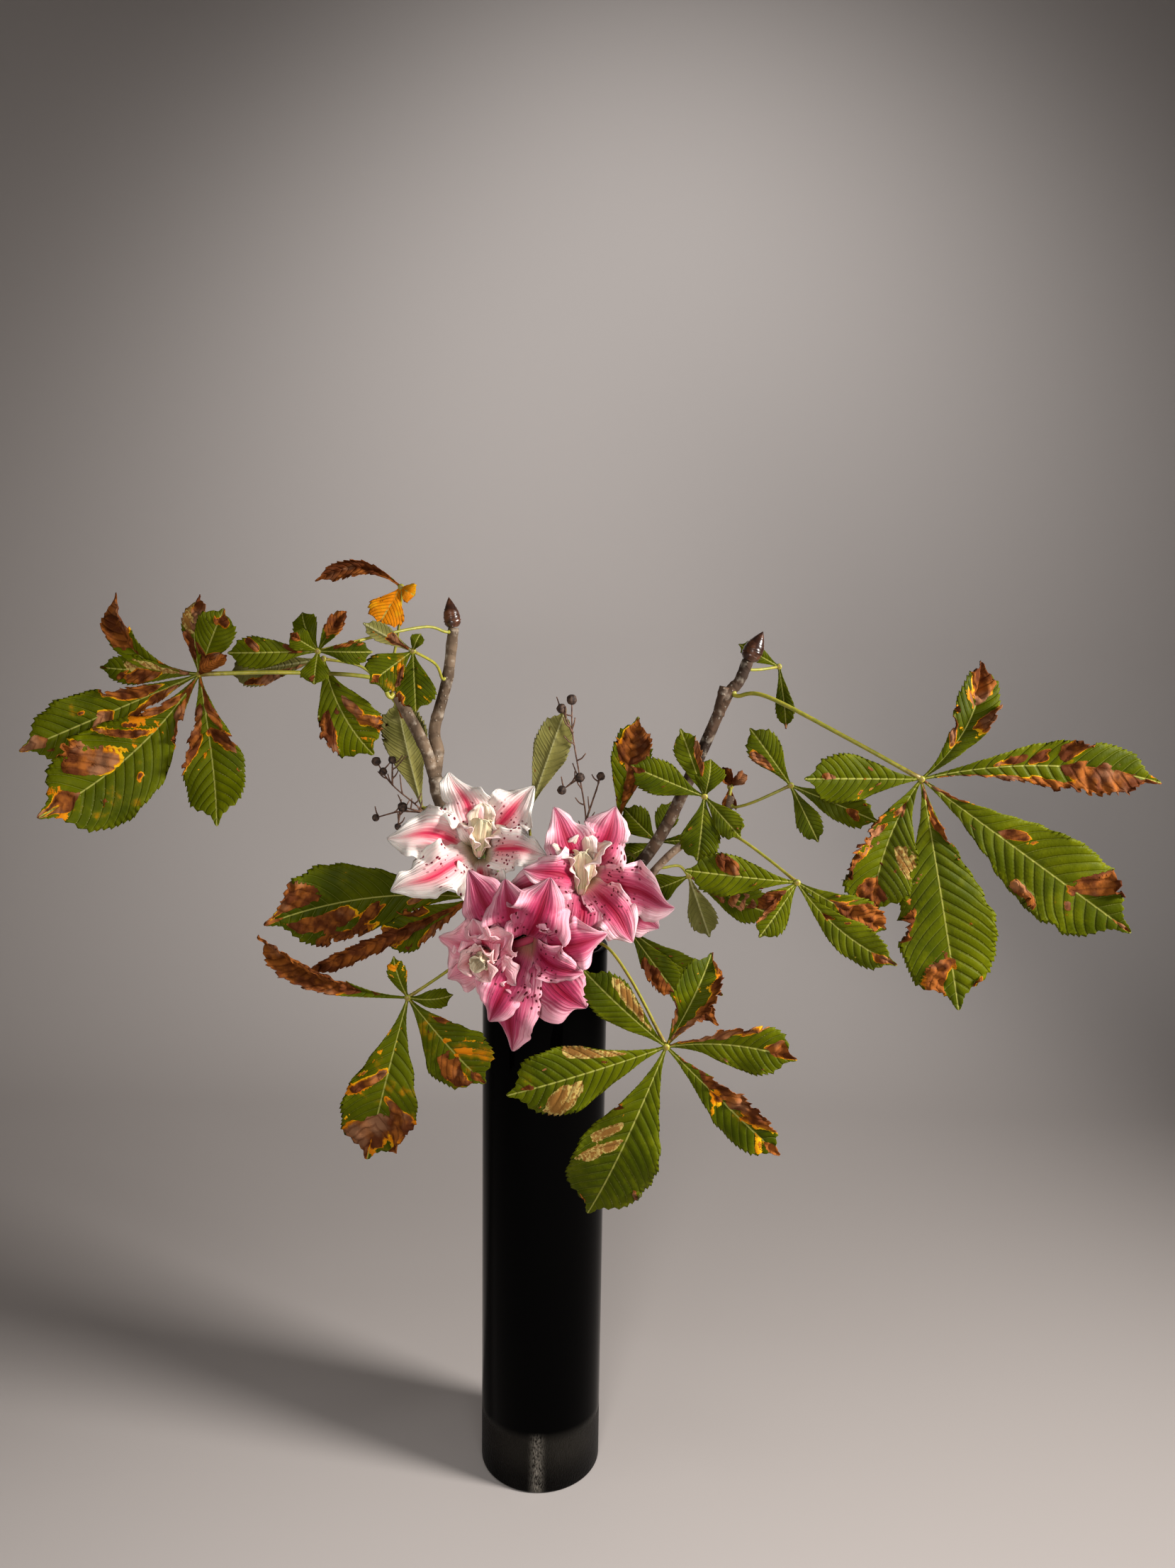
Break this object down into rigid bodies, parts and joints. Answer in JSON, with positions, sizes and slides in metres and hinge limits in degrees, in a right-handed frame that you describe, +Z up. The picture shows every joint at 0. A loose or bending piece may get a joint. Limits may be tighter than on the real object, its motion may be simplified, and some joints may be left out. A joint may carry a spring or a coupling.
{
  "type": "ikebana arrangement",
  "caption": "Horse-chestnut branches with palmate leaves, double lilies and seed sprigs standing in a tall black cylindrical glass vase.",
  "frame": {"origin": "middle of the vase's foot, on the surface that it stands on", "axes": "+Z up the vase; +X along the spread of the branches, to the right seen from the front; the front with the lilies looks along -Y"},
  "size_m": [0.933, 0.229, 0.8292],
  "materials": {
    "black_glass": "gloss",
    "bark": "matte",
    "smooth_twig": "satin",
    "sticky_bud": "gloss",
    "green_leaf": "satin",
    "leaf_underside": "matte",
    "dry_leaf": "matte",
    "lily_stem": "satin",
    "white_tepal": "satin",
    "pink_tepal": "satin",
    "cream_heart": "satin",
    "seed_capsule": "matte"
  },
  "bodies": {
    "root": {"branch_left": "bark", "branch_right": "bark", "bud_left": "sticky_bud", "bud_right": "sticky_bud", "leaf_behind_left": "leaf_underside", "leaf_behind_right": "green_leaf", "leaf_brown_centre": "dry_leaf", "leaf_bud_right": "green_leaf", "leaf_dry_top_left": "dry_leaf", "leaf_dry_twig": "dry_leaf", "leaf_far_left": "green_leaf", "leaf_far_right": "green_leaf", "leaf_fork_left": "green_leaf", "leaf_fork_right": "green_leaf", "leaf_low_centre": "green_leaf", "leaf_low_left_hand": "green_leaf", "leaf_low_left_large": "green_leaf", "leaf_low_right_back": "green_leaf", "leaf_low_right_hand": "green_leaf", "leaf_middle_right": "green_leaf", "leaf_near_left": "green_leaf", "leaf_near_left_back": "green_leaf", "leaf_pale_centre": "leaf_underside", "leaf_small_right": "green_leaf", "lily_low_heart": "cream_heart", "lily_low_stem": "lily_stem", "lily_low_tepal_1": "pink_tepal", "lily_low_tepal_2": "pink_tepal", "lily_low_tepal_3": "pink_tepal", "lily_low_tepal_4": "pink_tepal", "lily_low_tepal_5": "pink_tepal", "lily_low_tepal_6": "pink_tepal", "lily_low_tepal_7": "pink_tepal", "lily_low_tepal_8": "pink_tepal", "lily_pink_heart": "cream_heart", "lily_pink_stem": "lily_stem", "lily_pink_tepal_1": "pink_tepal", "lily_pink_tepal_2": "pink_tepal", "lily_pink_tepal_3": "pink_tepal", "lily_pink_tepal_4": "pink_tepal", "lily_pink_tepal_5": "pink_tepal", "lily_pink_tepal_6": "pink_tepal", "lily_pink_tepal_7": "pink_tepal", "lily_pink_tepal_8": "pink_tepal", "lily_white_heart": "cream_heart", "lily_white_stem": "lily_stem", "lily_white_tepal_1": "white_tepal", "lily_white_tepal_2": "white_tepal", "lily_white_tepal_3": "white_tepal", "lily_white_tepal_4": "white_tepal", "lily_white_tepal_5": "white_tepal", "lily_white_tepal_6": "white_tepal", "seed_sprig_centre": "seed_capsule", "seed_sprig_left": "seed_capsule", "twig_right": "smooth_twig", "vase": "black_glass"}
  },
  "joints": []
}
